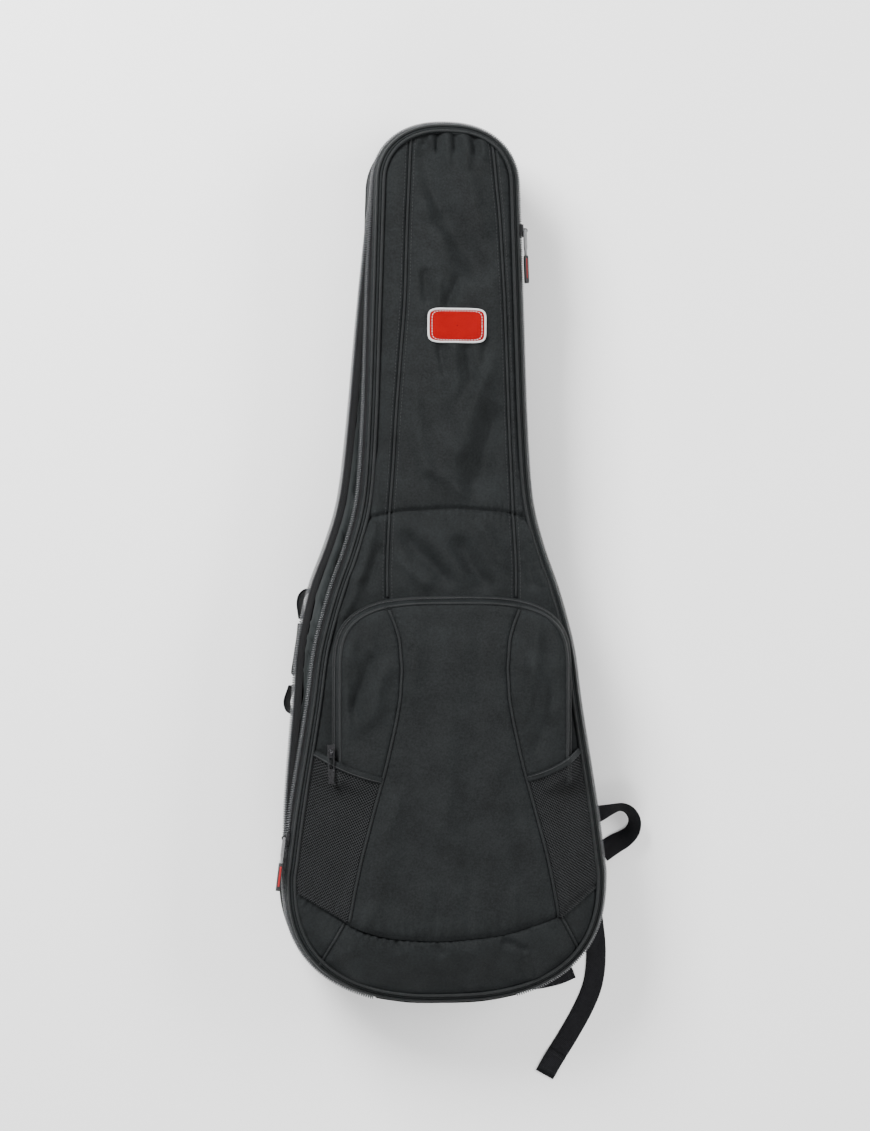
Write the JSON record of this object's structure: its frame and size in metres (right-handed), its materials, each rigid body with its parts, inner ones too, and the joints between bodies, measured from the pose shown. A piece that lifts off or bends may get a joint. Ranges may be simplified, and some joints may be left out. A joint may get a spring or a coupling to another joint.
{
  "type": "padded gig bag",
  "caption": "Padded soft case for a guitar: deep zipped tray with a padded lid, arched front pocket, mesh side pockets, carry handle and backpack straps.",
  "frame": {"origin": "on the ground under the middle of the bag's outline, in the plane of the back pads' faces", "axes": "+Y towards the head end, +Z out of the front, +X to the right as seen from the front"},
  "size_m": [0.466, 1.1783, 0.1367],
  "materials": {
    "shell_nylon": "matte 600D nylon",
    "lid_nylon": "matte 600D nylon",
    "lining": "satin",
    "zip_tape": "woven tape",
    "piping": "matte",
    "air_mesh": "spacer mesh",
    "webbing": "ribbed weave",
    "net": "open net",
    "binding": "ribbed tape",
    "badge": "embroidered patch",
    "slider_metal": "black nickel",
    "link_metal": "satin",
    "grip_rubber": "matte",
    "buckle": "moulded"
  },
  "bodies": {
    "rear_shell": {"back_panel": "shell_nylon", "rear_lining": "lining", "gusset_left": "shell_nylon", "gusset_right": "shell_nylon", "gusset_head": "shell_nylon", "gusset_tail": "shell_nylon", "rear_zip_tape": "zip_tape", "hinge_strip": "shell_nylon", "back_pad_upper": "air_mesh", "back_pad_spine": "air_mesh", "back_pad_lumbar": "air_mesh", "strap_yoke": "shell_nylon", "lower_anchor_left": "webbing", "lower_anchor_right": "webbing", "handle_patches": "webbing", "loop_patch": "webbing", "neck_cradle": "lining", "tail_bolster": "lining"},
    "lid": {"lid_panel": "lid_nylon", "lid_lining": "lining", "lid_zip_tape": "zip_tape", "lid_piping": "piping", "neck_seams": "piping", "badge": "badge", "pocket_gusset": "lid_nylon", "pocket_zip_tape": "zip_tape", "pocket_lower_panel": "lid_nylon", "tail_yoke": "lid_nylon", "mesh_pocket_left": "net", "mesh_pocket_right": "net", "mesh_binding_left": "binding", "mesh_binding_right": "binding"},
    "pocket_flap": {"pocket_flap_panel": "lid_nylon"},
    "slider_left": {"main_slider_left": "slider_metal"},
    "pull_left": {"pull_link_left": "link_metal", "pull_grip_left": "grip_rubber"},
    "slider_right": {"main_slider_right": "slider_metal"},
    "pull_right": {"pull_link_right": "link_metal", "pull_grip_right": "grip_rubber"},
    "slider_pocket": {"pocket_slider": "slider_metal"},
    "pull_pocket": {"pocket_pull": "link_metal"},
    "carry_handle": {"handle_webbing": "webbing", "handle_grip": "grip_rubber"},
    "hang_loop": {"hang_loop": "webbing"},
    "neck_strap": {"neck_strap": "webbing"},
    "strap_left": {"shoulder_pad_left": "air_mesh", "ladder_lock_left": "buckle", "strap_webbing_left": "webbing", "strap_tail_left": "webbing"},
    "strap_right": {"shoulder_pad_right": "air_mesh", "ladder_lock_right": "buckle", "strap_webbing_right": "webbing", "strap_tail_right": "webbing"}
  },
  "joints": [
    {"name": "lid_hinge", "type": "hinge", "parent": "rear_shell", "child": "lid", "pos_m": [0, -0.5275, 0.09], "axis": [1, 0, 0], "range_deg": [0, 150]},
    {"name": "pocket_fold", "type": "hinge", "parent": "lid", "child": "pocket_flap", "pos_m": [0.005, -0.2358, 0.1342], "axis": [1, 0, 0], "range_deg": [0, 120]},
    {"name": "zip_left", "type": "slide", "parent": "rear_shell", "child": "slider_left", "axis": [-0.1219, -0.9925, 0], "range_m": [0, 0.055]},
    {"name": "zip_right", "type": "slide", "parent": "rear_shell", "child": "slider_right", "axis": [0.0349, -0.9994, 0], "range_m": [0, 0.2]},
    {"name": "zip_pocket", "type": "slide", "parent": "lid", "child": "slider_pocket", "axis": [0, 1, 0], "range_m": [0, 0.085]},
    {"name": "pull_left_swing", "type": "hinge", "parent": "slider_left", "child": "pull_left", "pos_m": [-0.19473, -0.32717, 0.0946], "axis": [0, 0, -1], "range_deg": [0, 160]},
    {"name": "pull_right_swing", "type": "hinge", "parent": "slider_right", "child": "pull_right", "pos_m": [0.09611, 0.40024, 0.0946], "axis": [0, 0, 1], "range_deg": [0, 160]},
    {"name": "pull_pocket_swing", "type": "hinge", "parent": "slider_pocket", "child": "pull_pocket", "pos_m": [-0.1422, -0.222, 0.1337], "axis": [-1, 0, 0], "range_deg": [0, 160]},
    {"name": "handle_swing", "type": "hinge", "parent": "rear_shell", "child": "carry_handle", "pos_m": [-0.1671, -0.1073, 0.0497], "axis": [0.165, 0.9863, 0], "range_deg": [0, 40]},
    {"name": "hang_loop_swing", "type": "hinge", "parent": "rear_shell", "child": "hang_loop", "pos_m": [0, 0.5283, 0.0638], "axis": [1, 0, 0], "range_deg": [0, 85]},
    {"name": "neck_strap_swing", "type": "hinge", "parent": "rear_shell", "child": "neck_strap", "pos_m": [-0.054, 0.366, 0.0566], "axis": [0, -1, 0], "range_deg": [0, 15]},
    {"name": "strap_left_swing", "type": "hinge", "parent": "rear_shell", "child": "strap_left", "pos_m": [-0.046, 0.062, 0.008], "axis": [1, 0, 0], "range_deg": [0, 70]},
    {"name": "strap_right_swing", "type": "hinge", "parent": "rear_shell", "child": "strap_right", "pos_m": [0.046, 0.062, 0.008], "axis": [1, 0, 0], "range_deg": [0, 70]}
  ]
}
